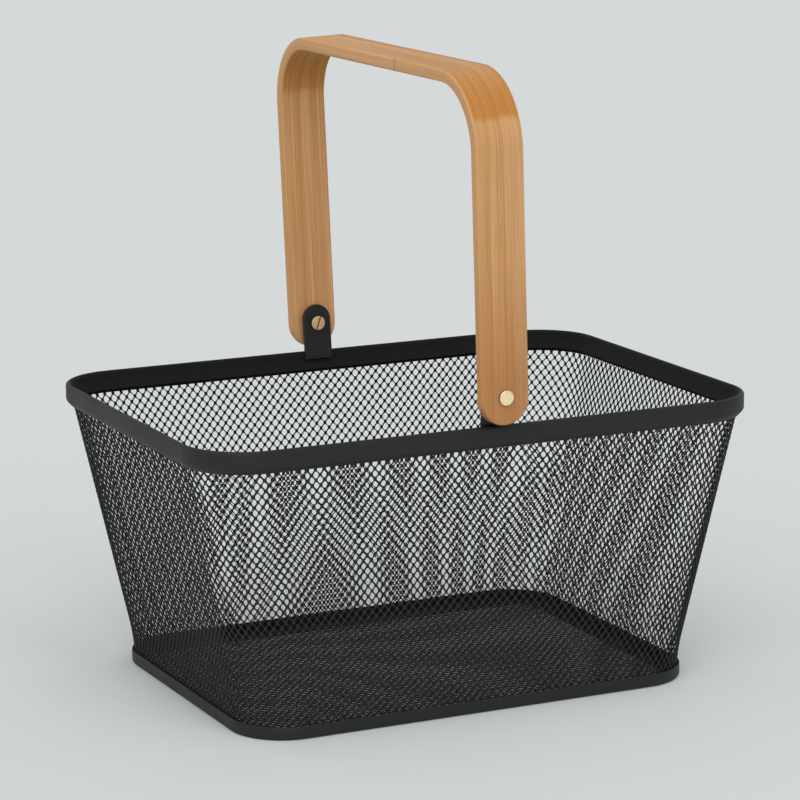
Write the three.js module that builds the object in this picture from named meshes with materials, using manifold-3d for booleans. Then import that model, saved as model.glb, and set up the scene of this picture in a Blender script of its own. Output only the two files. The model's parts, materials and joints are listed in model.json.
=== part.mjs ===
// Open mesh basket with a swinging bamboo handle.
// Millimetres, +Z up. The origin is the centre of the base, on the surface that the basket stands on.
// X runs along the basket and Y across it. The handle swings about an axis along Y.
import * as THREE from 'three';
import { mergeVertices } from 'three/addons/utils/BufferGeometryUtils.js';
import Module from 'manifold-3d';

const wasm = await Module();
wasm.setup();

// Outside of the basket
const RIM_LENGTH = 320;
const RIM_WIDTH = 225.6;
const RIM_CORNER_RADIUS = 34.4;
const BASE_LENGTH = 260.6;
const BASE_WIDTH = 192;
const BASE_CORNER_RADIUS = 30;
const BASKET_HEIGHT = 156;

// Folded strip round the top
const RIM_SHEET = 0.6;
const RIM_BAND_HEIGHT = 9;
const RIM_LIP_DROP = 3;
const RIM_INNER_HEIGHT = 10;
const SLOT_CLEARANCE = 0.7;

// Angle strip round the base
const BASE_SHEET = 0.8;
const BASE_BAND_HEIGHT = 7;
const BASE_FLANGE = 10;
const BASE_EDGE_RADIUS = 1.5;

// Open diamond mesh of the walls and the floor
const MESH_THICKNESS = 1;
const MESH_WIDE_PITCH = 31.5;
const MESH_TALL_PITCH = 28;
const MESH_STRAND = 3.2;
const MESH_TOP_DEPTH = 4.5;
const WALL_FLARE = 2.6;
const WALL_UPRIGHT_HEIGHT = 12;
const FLOOR_BORDER = 12;

// Bent bamboo handle
const HANDLE_WIDTH = 26.6;
const HANDLE_THICKNESS = 6.8;
const HANDLE_RISE = 164;
const HANDLE_BEND_RADIUS = 32;
const HANDLE_END_DROP = 14.6;
const HANDLE_LEAN = 2;
const LEG_SPLAY = 2;
const PIVOT_ABOVE_RIM = 16;

// Steel ears and brass screws that carry the handle
const EAR_WIDTH = 16.4;
const EAR_THICKNESS = 2;
const EAR_TOP_RISE = 2;
const BARREL_DIAMETER = 5;
const SHANK_DIAMETER = 3;
const SHANK_REACH = 6;
const SHANK_END_ROOM = 0.6;
const HEAD_DIAMETER = 8;
const HEAD_THICKNESS = 1.2;
const HEAD_CHAMFER = 0.4;
const SLOT_WIDTH = 1.2;
const SLOT_DEPTH = 0.7;
const SLOT_TURN = 19;

// Gaps between pieces that touch, turn or pass through one another
const SEAT_GAP = 0.3;
const LEG_CLEARANCE = 1.2;
const HOLE_CLEARANCE = 0.3;

// Fineness of the round stretches
const RIM_CORNER_STEPS = 8;
const EDGE_STEPS = 4;
const BEND_STEPS = 10;
const ROUND_SEGMENTS = 16;

// Lengths below this count as nothing
const TINY = 0.000001;

const blackSteel = new THREE.MeshStandardMaterial({ color: 0x1d1d1f, roughness: 0.62, metalness: 0.3 });
const bamboo = new THREE.MeshStandardMaterial({ color: 0xbc8d5c, roughness: 0.5, metalness: 0 });
const brass = new THREE.MeshStandardMaterial({ color: 0xd8bd7c, roughness: 0.3, metalness: 0.9 });

// Heights and insets that the pieces share
const rimBottom = BASKET_HEIGHT - RIM_BAND_HEIGHT - RIM_LIP_DROP;
const meshTop = BASKET_HEIGHT - MESH_TOP_DEPTH;
const meshTopInset = RIM_SHEET + SEAT_GAP;
const meshLipInset = meshTopInset + WALL_FLARE;
const flareSlope = WALL_FLARE / (meshTop - rimBottom);
const slotFarInset = meshTopInset + MESH_THICKNESS + SLOT_CLEARANCE;
const rimThickness = slotFarInset + RIM_SHEET;
const foldHeight = BASKET_HEIGHT - rimThickness / 2;
const meshBaseInset = BASE_SHEET + SEAT_GAP;
const floorBottom = BASE_SHEET + SEAT_GAP;
const wallFoot = BASE_SHEET + 2 * SEAT_GAP;
const pivotHeight = BASKET_HEIGHT + PIVOT_ABOVE_RIM;
const wallSpread = (RIM_WIDTH - BASE_WIDTH) / 2 - meshLipInset + meshBaseInset;
const wallLean = wallSpread / (rimBottom - WALL_UPRIGHT_HEIGHT);
const earTop = pivotHeight + EAR_TOP_RISE + EAR_WIDTH / 2;
const earSeat = earFace(pivotHeight - HEAD_DIAMETER / 2) - EAR_THICKNESS;
const legInnerFace = earFace(earTop) + LEG_CLEARANCE;
const legOuterFace = legInnerFace + HANDLE_THICKNESS;
const holeRadius = BARREL_DIAMETER / 2 + HOLE_CLEARANCE;

// Outer face of the ear at a height. The ear leans out as the wall does, clear of the fold of the rim.
function earFace(height) {
  return RIM_WIDTH / 2 - rimThickness - SEAT_GAP + wallLean * (height - foldHeight);
}

// Turns a geometry drawn in its own plane so that its x, y and z lie along three given world axes.
function layAlong(geometry, xAxis, yAxis, zAxis) {
  return geometry.applyMatrix4(new THREE.Matrix4().makeBasis(xAxis, yAxis, zAxis));
}

const X = new THREE.Vector3(1, 0, 0);
const Y = new THREE.Vector3(0, 1, 0);
const Z = new THREE.Vector3(0, 0, 1);

function toSolid(geometry) {
  const bare = geometry.clone();
  bare.deleteAttribute('normal');
  bare.deleteAttribute('uv');
  const merged = mergeVertices(bare, 1e-4);
  const vertProperties = new Float32Array(merged.attributes.position.array);
  const triVerts = new Uint32Array(merged.index.array);
  return new wasm.Manifold(new wasm.Mesh({ numProp: 3, vertProperties, triVerts }));
}

function toGeometry(solid) {
  const mesh = solid.getMesh();
  return closedGeometry(mesh.vertProperties, mesh.triVerts);
}

function closedGeometry(positions, triangles) {
  const geometry = new THREE.BufferGeometry();
  geometry.setAttribute('position', new THREE.BufferAttribute(new Float32Array(positions), 3));
  geometry.setIndex(new THREE.BufferAttribute(new Uint32Array(triangles), 1));
  geometry.computeVertexNormals();
  return geometry;
}

function piece(name, geometry, material) {
  const mesh = new THREE.Mesh(geometry, material);
  mesh.name = name;
  return mesh;
}

// Points of a circular arc, with both ends.
function arcPoints(centreX, centreY, radius, startAngle, endAngle, steps) {
  const curve = new THREE.ArcCurve(centreX, centreY, radius, startAngle, endAngle, endAngle < startAngle);
  return curve.getPoints(steps);
}

// Sweeps a closed profile round a rectangle with round corners.
// A profile point's x is its inset from the outer face and its y is its height.
function ringSweep(profile, length, width, cornerRadius) {
  const positions = [];
  const triangles = [];
  const stations = [];
  for (let corner = 0; corner < 4; corner += 1) {
    for (let step = 0; step <= RIM_CORNER_STEPS; step += 1) {
      const angle = (corner + step / RIM_CORNER_STEPS) * Math.PI / 2;
      const signX = corner === 0 || corner === 3 ? 1 : -1;
      const signY = corner < 2 ? 1 : -1;
      stations.push({ angle, x: signX * (length / 2 - cornerRadius), y: signY * (width / 2 - cornerRadius) });
    }
  }
  for (const station of stations) {
    for (const point of profile) {
      const reach = cornerRadius - point.x;
      positions.push(station.x + reach * Math.cos(station.angle));
      positions.push(station.y + reach * Math.sin(station.angle));
      positions.push(point.y);
    }
  }
  const count = profile.length;
  for (let s = 0; s < stations.length; s += 1) {
    const here = s * count;
    const next = ((s + 1) % stations.length) * count;
    for (let p = 0; p < count; p += 1) {
      const q = (p + 1) % count;
      triangles.push(here + p, next + q, next + p);
      triangles.push(here + p, here + q, next + q);
    }
  }
  return closedGeometry(positions, triangles);
}

// Strip folded over the mesh edge: outer band with a lip turned in, round top fold, inner skin.
function topRim() {
  const lipReach = meshLipInset - 2 * SEAT_GAP;
  const lipSlope = RIM_LIP_DROP / lipReach;
  const lipEdge = RIM_SHEET * Math.hypot(1, lipSlope);
  const bandFoot = BASKET_HEIGHT - RIM_BAND_HEIGHT;
  const foldRadius = rimThickness / 2;
  const innerFoot = BASKET_HEIGHT - RIM_INNER_HEIGHT;
  const innerLean = flareSlope * (meshTop - innerFoot);
  const profile = [
    new THREE.Vector2(lipReach, rimBottom + lipEdge),
    new THREE.Vector2(RIM_SHEET, bandFoot - RIM_SHEET * lipSlope + lipEdge),
    ...arcPoints(foldRadius, foldHeight, foldRadius - RIM_SHEET, Math.PI, 0, EDGE_STEPS / 2),
    new THREE.Vector2(slotFarInset, meshTop),
    new THREE.Vector2(slotFarInset + innerLean, innerFoot),
    new THREE.Vector2(rimThickness + innerLean, innerFoot),
    new THREE.Vector2(rimThickness, meshTop),
    ...arcPoints(foldRadius, foldHeight, foldRadius, 0, Math.PI, EDGE_STEPS),
    new THREE.Vector2(0, bandFoot),
    new THREE.Vector2(lipReach, rimBottom),
  ];
  return ringSweep(profile, RIM_LENGTH, RIM_WIDTH, RIM_CORNER_RADIUS);
}

// Angle strip: upright band round the foot of the walls and a flange under the floor.
function baseRim() {
  const innerRadius = BASE_EDGE_RADIUS - BASE_SHEET;
  const profile = [
    new THREE.Vector2(0, BASE_BAND_HEIGHT),
    ...arcPoints(BASE_EDGE_RADIUS, BASE_EDGE_RADIUS, BASE_EDGE_RADIUS, Math.PI, 1.5 * Math.PI, EDGE_STEPS - 1),
    new THREE.Vector2(BASE_FLANGE, 0),
    new THREE.Vector2(BASE_FLANGE, BASE_SHEET),
    ...arcPoints(BASE_EDGE_RADIUS, BASE_EDGE_RADIUS, innerRadius, 1.5 * Math.PI, Math.PI, EDGE_STEPS / 2),
    new THREE.Vector2(BASE_SHEET, BASE_BAND_HEIGHT),
  ];
  return ringSweep(profile, BASE_LENGTH, BASE_WIDTH, BASE_CORNER_RADIUS);
}

// Outer face of the mesh wall at a height: half sizes and corner radius.
// The wall stands upright at its foot, leans out to the rim's lip and flares into the rim's slot.
function wallSection(height) {
  const foot = sectionOf(BASE_LENGTH, BASE_WIDTH, BASE_CORNER_RADIUS, meshBaseInset);
  const lip = sectionOf(RIM_LENGTH, RIM_WIDTH, RIM_CORNER_RADIUS, meshLipInset);
  const top = sectionOf(RIM_LENGTH, RIM_WIDTH, RIM_CORNER_RADIUS, meshTopInset);
  if (height <= WALL_UPRIGHT_HEIGHT) return foot;
  if (height >= rimBottom) return blend(lip, top, (height - rimBottom) / (meshTop - rimBottom));
  return blend(foot, lip, (height - WALL_UPRIGHT_HEIGHT) / (rimBottom - WALL_UPRIGHT_HEIGHT));
}

function sectionOf(length, width, cornerRadius, inset) {
  return { halfX: length / 2 - inset, halfY: width / 2 - inset, radius: cornerRadius - inset };
}

function blend(low, high, share) {
  const mix = (key) => THREE.MathUtils.lerp(low[key], high[key], share);
  return { halfX: mix('halfX'), halfY: mix('halfY'), radius: mix('radius') };
}

// Cuts a convex outline back to one side of a straight line across x or y.
function clipOutline(outline, axis, limit, side) {
  const kept = [];
  outline.forEach((point, index) => {
    const next = outline[(index + 1) % outline.length];
    const room = side * (point[axis] - limit);
    const nextRoom = side * (next[axis] - limit);
    const crosses = room * nextRoom < 0 && Math.min(Math.abs(room), Math.abs(nextRoom)) > TINY;
    if (room > -TINY) kept.push(point);
    if (crosses) kept.push(point.clone().lerp(next, room / (room - nextRoom)));
  });
  return kept;
}

// Draws a convex outline in by one distance all round, corner for corner.
function insetOutline(outline, distance) {
  return outline.map((point, index) => {
    const before = outline[(index + outline.length - 1) % outline.length];
    const after = outline[(index + 1) % outline.length];
    const arriving = point.clone().sub(before).normalize();
    const leaving = after.clone().sub(point).normalize();
    const inward = new THREE.Vector2(-arriving.y - leaving.y, arriving.x + leaving.x);
    return point.clone().addScaledVector(inward, distance / (1 + arriving.dot(leaving)));
  });
}

// Adds the middle of the edge that lies along a level border.
function splitBorder(outline, level) {
  return outline.flatMap((point, index) => {
    const next = outline[(index + 1) % outline.length];
    const along = Math.abs(point.y - level) < TINY && Math.abs(next.y - level) < TINY;
    return along ? [point, point.clone().lerp(next, 0.5)] : [point];
  });
}

// Facets of an open net over a rectangle from the origin: staggered diamonds, each a frame round its hole.
// Diamonds on the borders are halves, and the borders are plain strands. On a round net the upper and
// lower borders bend at every half column.
function netFacets(width, height, columns, rows, round) {
  const halfWide = width / columns / 2;
  const halfTall = height / rows / 2;
  const facets = [];
  for (let row = 0; row <= 2 * rows; row += 1) {
    for (let column = row % 2; column <= 2 * columns; column += 2) {
      const x = column * halfWide;
      const y = row * halfTall;
      let cell = [
        new THREE.Vector2(x - halfWide, y),
        new THREE.Vector2(x, y - halfTall),
        new THREE.Vector2(x + halfWide, y),
        new THREE.Vector2(x, y + halfTall),
      ];
      cell = clipOutline(cell, 'x', 0, 1);
      cell = clipOutline(cell, 'x', width, -1);
      cell = clipOutline(cell, 'y', 0, 1);
      cell = clipOutline(cell, 'y', height, -1);
      if (round && column > 0 && column < 2 * columns) cell = splitBorder(splitBorder(cell, 0), height);
      const hole = insetOutline(cell, MESH_STRAND / 2);
      cell.forEach((point, index) => {
        const next = (index + 1) % cell.length;
        facets.push([point, cell[next], hole[next], hole[index]]);
      });
    }
  }
  return facets;
}

// Places along a net's border where its facets meet: both corners, and between them each half column
// of a round net or each strand's end.
function borderStops(width, columns, round) {
  const stops = [0];
  for (let half = 1; half < 2 * columns; half += round ? 1 : 2) {
    stops.push(half * width / columns / 2);
  }
  stops.push(width);
  return stops;
}

// Keeps two equal corners from rounding apart where they are told by their coordinates.
const KEY_NUDGE = 0.000013;

// Closed plate from flat facets that share their corners, with a wall along every free edge.
// place(point, inset) gives a facet corner's spot on the outer face, inset 0, or on the inner one.
function netPlate(facets, place) {
  const corners = new Map();
  const positions = [];
  const triangles = [];
  const edges = new Set();
  const cornerOf = (point) => {
    const key = `${(point.x + KEY_NUDGE).toFixed(3)} ${(point.y + KEY_NUDGE).toFixed(3)}`;
    if (!corners.has(key)) {
      corners.set(key, positions.length / 3);
      positions.push(...place(point, 0).toArray(), ...place(point, MESH_THICKNESS).toArray());
    }
    return corners.get(key);
  };
  for (const facet of facets) {
    const ids = facet.map(cornerOf);
    for (let i = 1; i < ids.length - 1; i += 1) {
      triangles.push(ids[0], ids[i], ids[i + 1]);
      triangles.push(ids[0] + 1, ids[i + 1] + 1, ids[i] + 1);
    }
    ids.forEach((id, index) => edges.add(`${id} ${ids[(index + 1) % ids.length]}`));
  }
  for (const edge of edges) {
    const [from, to] = edge.split(' ').map(Number);
    if (!edges.has(`${to} ${from}`)) {
      triangles.push(from, from + 1, to + 1);
      triangles.push(from, to + 1, to);
    }
  }
  return closedGeometry(positions, triangles);
}

const lowSection = wallSection(WALL_UPRIGHT_HEIGHT);
const highSection = wallSection(rimBottom);
const cornerArc = (lowSection.radius + highSection.radius) * Math.PI / 4;
const cornerColumns = Math.max(2, Math.round(cornerArc / MESH_WIDE_PITCH));
const cornerSteps = 2 * cornerColumns;

// One wall panel, drawn flat and bent onto the wall by a function of its share across and its section.
// The plain strips above and below the net lie inside the two rims.
function wallPanel(width, columns, round, bend) {
  const netHeight = rimBottom - BASE_BAND_HEIGHT;
  const rows = Math.max(1, Math.round(netHeight / MESH_TALL_PITCH));
  const facets = netFacets(width, netHeight, columns, rows, round);
  const stops = borderStops(width, columns, round);
  const strips = [
    [wallFoot - BASE_BAND_HEIGHT, 0],
    [netHeight, meshTop - BASE_BAND_HEIGHT],
  ];
  for (const [low, high] of strips) {
    for (let i = 1; i < stops.length; i += 1) {
      facets.push([
        new THREE.Vector2(stops[i - 1], low),
        new THREE.Vector2(stops[i], low),
        new THREE.Vector2(stops[i], high),
        new THREE.Vector2(stops[i - 1], high),
      ]);
    }
  }
  return netPlate(facets, (point, inset) => {
    const height = point.y + BASE_BAND_HEIGHT;
    const spot = bend(point.x / width, wallSection(height), inset);
    return new THREE.Vector3(spot.x, spot.y, height);
  });
}

// Flat panel between two corners, drawn for the front or, turned a quarter, for the right side.
function flatWall(acrossKey, outKey) {
  const reach = (section) => section[acrossKey] - section.radius - SEAT_GAP / 2;
  const width = reach(lowSection) + reach(highSection);
  const columns = Math.max(1, Math.round(width / MESH_WIDE_PITCH));
  const bend = (share, section, inset) => ({
    x: (2 * share - 1) * reach(section),
    y: inset - section[outKey],
  });
  return wallPanel(width, columns, false, bend);
}

// Rounded panel of the front right corner, or of the front left one as its mirror image.
function cornerWall(side) {
  const bend = (share, section, inset) => {
    const trim = SEAT_GAP / 2 / section.radius;
    const sweep = THREE.MathUtils.lerp(trim, Math.PI / 2 - trim, side > 0 ? share : 1 - share);
    return {
      x: side * (section.halfX - section.radius + (section.radius - inset) * Math.sin(sweep)),
      y: section.radius - section.halfY - (section.radius - inset) * Math.cos(sweep),
    };
  };
  return wallPanel(cornerArc, cornerColumns, true, bend);
}

// Triangles between two loops round one centre, by the angle of their points.
function ringFacets(outer, inner, centre) {
  const byAngle = (loop) => loop
    .map((point) => ({ point, angle: Math.atan2(point.y - centre.y, point.x - centre.x) }))
    .sort((a, b) => a.angle - b.angle);
  const outside = byAngle(outer);
  const inside = byAngle(inner);
  const turned = (loop, i) => loop[i % loop.length].angle + 2 * Math.PI * Math.floor(i / loop.length);
  const facets = [];
  let i = 0;
  let j = 0;
  while (i < outside.length || j < inside.length) {
    const here = outside[i % outside.length].point;
    const within = inside[j % inside.length].point;
    if (j >= inside.length || (i < outside.length && turned(outside, i + 1) < turned(inside, j + 1))) {
      i += 1;
      facets.push([here, outside[i % outside.length].point, within]);
    } else {
      j += 1;
      facets.push([here, inside[j % inside.length].point, within]);
    }
  }
  return facets;
}

// Flat mesh that lies on the base flange, inside the foot of the walls, with a plain border.
function floorMesh() {
  const inset = meshBaseInset + MESH_THICKNESS + SEAT_GAP;
  const section = sectionOf(BASE_LENGTH, BASE_WIDTH, BASE_CORNER_RADIUS, inset);
  const netLength = 2 * (section.halfX - FLOOR_BORDER);
  const netWidth = 2 * (section.halfY - FLOOR_BORDER);
  const columns = Math.max(1, Math.round(netLength / MESH_WIDE_PITCH));
  const rows = Math.max(1, Math.round(netWidth / MESH_TALL_PITCH));
  const centre = new THREE.Vector2(netLength / 2, netWidth / 2);
  const outline = [];
  for (let corner = 0; corner < 4; corner += 1) {
    const centreX = centre.x + (corner === 0 || corner === 3 ? 1 : -1) * (section.halfX - section.radius);
    const centreY = centre.y + (corner < 2 ? 1 : -1) * (section.halfY - section.radius);
    const start = corner * Math.PI / 2;
    outline.push(...arcPoints(centreX, centreY, section.radius, start, start + Math.PI / 2, cornerSteps));
  }
  const border = [];
  for (const x of borderStops(netLength, columns, false)) {
    border.push(new THREE.Vector2(x, 0), new THREE.Vector2(x, netWidth));
  }
  for (const y of borderStops(netWidth, rows, false).slice(1, -1)) {
    border.push(new THREE.Vector2(0, y), new THREE.Vector2(netLength, y));
  }
  const facets = netFacets(netLength, netWidth, columns, rows, false);
  facets.push(...ringFacets(outline, border, centre));
  return netPlate(facets, (point, depth) => (
    new THREE.Vector3(point.x - centre.x, point.y - centre.y, floorBottom + MESH_THICKNESS - depth)
  ));
}

// Strip bent into an arch, with rounded leg ends and a hole through each leg, about the swing axis.
// The legs spread a little from the swing axis up to the bends.
function handleArch() {
  const outerRadius = HANDLE_BEND_RADIUS + HANDLE_THICKNESS;
  const bendY = legOuterFace + LEG_SPLAY - outerRadius;
  const bendZ = HANDLE_RISE - outerRadius;
  const footSplay = LEG_SPLAY * HANDLE_END_DROP / bendZ;
  const footOuter = legOuterFace - footSplay;
  const footInner = legInnerFace - footSplay;
  const arch = new THREE.Shape([
    new THREE.Vector2(footOuter, -HANDLE_END_DROP),
    ...arcPoints(bendY, bendZ, outerRadius, 0, Math.PI / 2, BEND_STEPS),
    ...arcPoints(-bendY, bendZ, outerRadius, Math.PI / 2, Math.PI, BEND_STEPS),
    new THREE.Vector2(-footOuter, -HANDLE_END_DROP),
    new THREE.Vector2(-footInner, -HANDLE_END_DROP),
    ...arcPoints(-bendY, bendZ, HANDLE_BEND_RADIUS, Math.PI, Math.PI / 2, BEND_STEPS),
    ...arcPoints(bendY, bendZ, HANDLE_BEND_RADIUS, Math.PI / 2, 0, BEND_STEPS),
    new THREE.Vector2(footInner, -HANDLE_END_DROP),
  ]);
  const strip = new THREE.ExtrudeGeometry(arch, { depth: HANDLE_WIDTH, bevelEnabled: false });
  layAlong(strip.translate(0, 0, -HANDLE_WIDTH / 2), Y, Z, X);

  const endRadius = HANDLE_WIDTH / 2;
  const endCentre = endRadius - HANDLE_END_DROP;
  const face = new THREE.Shape([
    ...arcPoints(endCentre, 0, endRadius, Math.PI / 2, 1.5 * Math.PI, ROUND_SEGMENTS / 2),
    new THREE.Vector2(2 * HANDLE_RISE, -endRadius),
    new THREE.Vector2(2 * HANDLE_RISE, endRadius),
  ]);
  const span = 4 * legOuterFace;
  const rounding = new THREE.ExtrudeGeometry(face, { depth: span, bevelEnabled: false });
  layAlong(rounding.translate(0, 0, -span / 2), Z, X, Y);

  const hole = new THREE.CylinderGeometry(holeRadius, holeRadius, span, ROUND_SEGMENTS);
  return toGeometry(toSolid(strip).intersect(toSolid(rounding)).subtract(toSolid(hole)));
}

// Tab that stands inside the rim and leans out, with a round top and a hole on the swing axis.
function ear() {
  const foot = meshTop + SEAT_GAP;
  const beyond = earTop + EAR_WIDTH;
  const side = new THREE.Shape([
    new THREE.Vector2(earFace(foot), foot - pivotHeight),
    new THREE.Vector2(earFace(beyond), beyond - pivotHeight),
    new THREE.Vector2(earFace(beyond) - EAR_THICKNESS, beyond - pivotHeight),
    new THREE.Vector2(earFace(foot) - EAR_THICKNESS, foot - pivotHeight),
  ]);
  const plate = new THREE.ExtrudeGeometry(side, { depth: 2 * EAR_WIDTH, bevelEnabled: false });
  layAlong(plate.translate(0, 0, -EAR_WIDTH), Y, Z, X);

  const outline = new THREE.Shape([
    new THREE.Vector2(2 * (foot - pivotHeight), -EAR_WIDTH / 2),
    ...arcPoints(EAR_TOP_RISE, 0, EAR_WIDTH / 2, -Math.PI / 2, Math.PI / 2, ROUND_SEGMENTS / 2),
    new THREE.Vector2(2 * (foot - pivotHeight), EAR_WIDTH / 2),
  ]);
  outline.holes = [new THREE.Path(arcPoints(0, 0, holeRadius, 0, 2 * Math.PI, ROUND_SEGMENTS).slice(0, -1))];
  const face = new THREE.ExtrudeGeometry(outline, { depth: 2 * legInnerFace, bevelEnabled: false });
  return toGeometry(toSolid(plate).intersect(toSolid(layAlong(face, Z, X, Y))));
}

// Plain head outside the leg with a bored barrel through the leg and the ear.
function bindingPost() {
  const headSeat = legOuterFace + SEAT_GAP;
  const headTop = headSeat + HEAD_THICKNESS;
  const boreRadius = SHANK_DIAMETER / 2 + HOLE_CLEARANCE;
  const boreEnd = earSeat + SHANK_REACH + SHANK_END_ROOM;
  return new THREE.LatheGeometry([
    new THREE.Vector2(0, boreEnd),
    new THREE.Vector2(boreRadius, boreEnd),
    new THREE.Vector2(boreRadius, earSeat),
    new THREE.Vector2(BARREL_DIAMETER / 2, earSeat),
    new THREE.Vector2(BARREL_DIAMETER / 2, headSeat),
    new THREE.Vector2(HEAD_DIAMETER / 2, headSeat),
    new THREE.Vector2(HEAD_DIAMETER / 2, headTop - HEAD_CHAMFER),
    new THREE.Vector2(HEAD_DIAMETER / 2 - HEAD_CHAMFER, headTop),
    new THREE.Vector2(0, headTop),
  ], ROUND_SEGMENTS);
}

// Slotted screw inside the ear, with its shank in the bore of the binding post.
function slottedScrew() {
  const headSeat = earSeat - SEAT_GAP;
  const headTop = headSeat - HEAD_THICKNESS;
  const turned = new THREE.LatheGeometry([
    new THREE.Vector2(0, headTop),
    new THREE.Vector2(HEAD_DIAMETER / 2 - HEAD_CHAMFER, headTop),
    new THREE.Vector2(HEAD_DIAMETER / 2, headTop + HEAD_CHAMFER),
    new THREE.Vector2(HEAD_DIAMETER / 2, headSeat),
    new THREE.Vector2(SHANK_DIAMETER / 2, headSeat),
    new THREE.Vector2(SHANK_DIAMETER / 2, headSeat + SHANK_REACH),
    new THREE.Vector2(0, headSeat + SHANK_REACH),
  ], ROUND_SEGMENTS);
  const slot = new THREE.BoxGeometry(SLOT_WIDTH, 2 * SLOT_DEPTH, 2 * HEAD_DIAMETER);
  slot.rotateY(THREE.MathUtils.degToRad(SLOT_TURN));
  slot.translate(0, headTop, 0);
  return toGeometry(toSolid(turned).subtract(toSolid(slot)));
}

const basket = new THREE.Group();
basket.add(piece('top_rim', topRim(), blackSteel));
basket.add(piece('base_rim', baseRim(), blackSteel));
basket.add(piece('floor_mesh', floorMesh(), blackSteel));

// Half of the wall is one long panel, one end panel and two corners. The other half is turned half round.
const halves = [
  { turn: 0, long: 'front', end: 'right' },
  { turn: Math.PI, long: 'back', end: 'left' },
];
for (const half of halves) {
  const walls = new THREE.Group();
  walls.rotation.z = half.turn;
  walls.add(piece(`${half.long}_wall_mesh`, flatWall('halfX', 'halfY'), blackSteel));
  const endWall = piece(`${half.end}_wall_mesh`, flatWall('halfY', 'halfX'), blackSteel);
  endWall.rotation.z = Math.PI / 2;
  walls.add(endWall);
  const otherEnd = half.end === 'right' ? 'left' : 'right';
  walls.add(piece(`${half.long}_${half.end}_corner_mesh`, cornerWall(1), blackSteel));
  walls.add(piece(`${half.long}_${otherEnd}_corner_mesh`, cornerWall(-1), blackSteel));
  basket.add(walls);
}

// Ear, post and screw stand on the swing axis, drawn for the back and turned half round for the front.
const pivots = [
  { turn: 0, name: 'back' },
  { turn: Math.PI, name: 'front' },
];
for (const pivot of pivots) {
  const stack = new THREE.Group();
  stack.position.z = pivotHeight;
  stack.rotation.z = pivot.turn;
  stack.add(piece(`${pivot.name}_ear`, ear(), blackSteel));
  stack.add(piece(`${pivot.name}_post`, bindingPost(), brass));
  stack.add(piece(`${pivot.name}_screw`, slottedScrew(), brass));
  basket.add(stack);
}

const swing = new THREE.Group();
swing.position.z = pivotHeight;
swing.rotation.y = -THREE.MathUtils.degToRad(HANDLE_LEAN);
swing.add(piece('handle', handleArch(), bamboo));
basket.add(swing);

export default basket;
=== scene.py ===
"""Open mesh basket of black powder-coated steel, with a bent bamboo handle that swings on brass posts."""

import json
from math import cos, hypot, pi, radians, sin, tau

import bmesh
import bpy
from bmesh.types import BMEdge, BMVert
from mathutils import Matrix, Vector


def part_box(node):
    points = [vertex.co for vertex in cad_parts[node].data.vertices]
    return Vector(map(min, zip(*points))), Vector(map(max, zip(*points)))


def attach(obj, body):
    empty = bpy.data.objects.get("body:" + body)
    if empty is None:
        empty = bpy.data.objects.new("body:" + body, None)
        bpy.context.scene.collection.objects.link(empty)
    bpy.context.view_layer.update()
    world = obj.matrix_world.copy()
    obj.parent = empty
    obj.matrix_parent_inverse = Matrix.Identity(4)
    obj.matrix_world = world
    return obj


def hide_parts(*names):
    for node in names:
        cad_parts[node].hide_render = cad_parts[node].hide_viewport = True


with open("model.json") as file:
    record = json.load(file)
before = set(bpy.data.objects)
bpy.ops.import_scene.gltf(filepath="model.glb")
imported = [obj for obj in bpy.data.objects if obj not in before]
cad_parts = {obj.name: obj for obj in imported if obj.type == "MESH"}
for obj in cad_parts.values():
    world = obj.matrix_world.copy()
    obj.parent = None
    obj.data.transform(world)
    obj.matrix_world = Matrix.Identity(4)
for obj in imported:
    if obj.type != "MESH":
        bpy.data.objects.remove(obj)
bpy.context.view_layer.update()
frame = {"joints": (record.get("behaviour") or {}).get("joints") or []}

MM = 0.001
# Points nearer than this, in millimetres, count as one. Edges that bend by more than these angles, in
# degrees, count as a fold or as sharp.
TOUCH = 0.001
FOLD_ANGLE = 15
SHARP_ANGLE = 50


def corner_of(node):
    """Highest corner of a node in millimetres: half length, half width and top where it stands mid-frame."""
    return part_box(node)[1] / MM


# Sizes that the frame gives, in millimetres.
rim_x, rim_y, rim_top = corner_of("top_rim")
base_x, base_y, base_top = corner_of("base_rim")
floor_x, floor_y, floor_top = corner_of("floor_mesh")
floor_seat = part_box("floor_mesh")[0].z / MM
mesh_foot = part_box("front_wall_mesh")[0].z / MM
mesh_top = corner_of("front_wall_mesh").z
bend_face = corner_of("handle").y
ear_face, ear_top = corner_of("back_ear").yz
ear_inner_foot, ear_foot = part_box("back_ear")[0].yz / MM
post_top = corner_of("back_post").y
post_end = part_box("back_post")[0].y / MM
screw_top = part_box("back_screw")[0].y / MM
pivot_height = frame["joints"][0]["pos_m"][2] / MM

# Sizes that the pieces were made to, in millimetres and degrees: first the strips of the rim and the base.
RIM_CORNER = 34.4
RIM_SHEET = 0.6
RIM_BAND = 9
RIM_LIP_DROP = 3
RIM_LIP_REACH = 2.9
RIM_FOLD = 3.2
RIM_CREASE = 1
RIM_INNER_HEIGHT = 10
RIM_INNER_LEAN = 1.9
BASE_CORNER = 30
BASE_SHEET = 0.8
BASE_FLANGE = 10
BASE_EDGE = 1.5
# Two roundings of one narrow edge stop this short of its middle, on either side.
EDGE_LAND = 0.02
band_foot = rim_top - RIM_BAND
rim_lip = band_foot - RIM_LIP_DROP

# Wall: its insets from the base and the rim, then where its bends lie and over what height they are eased.
WALL_INSET_FOOT = 1.6
WALL_INSET_LIP = 4.1
WALL_INSET_TOP = 1.2
WALL_UPRIGHT = 12
WALL_EASE = 12
FLARE_EASE = 4

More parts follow.
